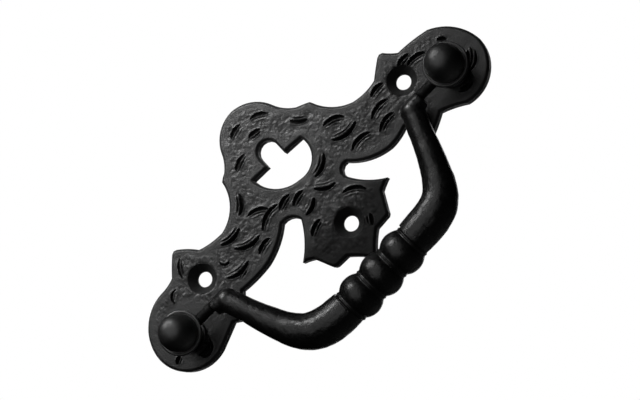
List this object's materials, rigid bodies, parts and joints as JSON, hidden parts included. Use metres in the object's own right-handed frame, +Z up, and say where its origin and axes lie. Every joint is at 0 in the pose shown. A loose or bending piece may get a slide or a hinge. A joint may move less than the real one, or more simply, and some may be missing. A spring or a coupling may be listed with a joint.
{
  "type": "cabinet pull",
  "caption": "Drop-bail cabinet pull: a beaded swinging bail hung from round-headed posts on a scalloped, chiselled backplate with a keyhole cut-out and a pendant.",
  "frame": {"origin": "on the back face of the plate, midway between the axes of the posts", "axes": "+X to the right as seen from the front, +Y out of the plate's back into the door, +Z up; the front faces -Y"},
  "size_m": [0.12, 0.0177, 0.0695],
  "materials": {
    "plate_iron": "satin black over sand-cast grain and chisel marks",
    "post_iron": "satin black, smooth domes",
    "bail_iron": "satin black, smooth with light pitting"
  },
  "bodies": {
    "plate": {"backplate": "plate_iron", "left_post": "post_iron", "right_post": "post_iron"},
    "bail": {"bail_handle": "bail_iron"}
  },
  "joints": [
    {"name": "bail_swing", "type": "hinge", "parent": "plate", "child": "bail", "pos_m": [0, -0.0073, 0], "axis": [-1, 0, 0], "range_deg": [-2, 175]}
  ]
}
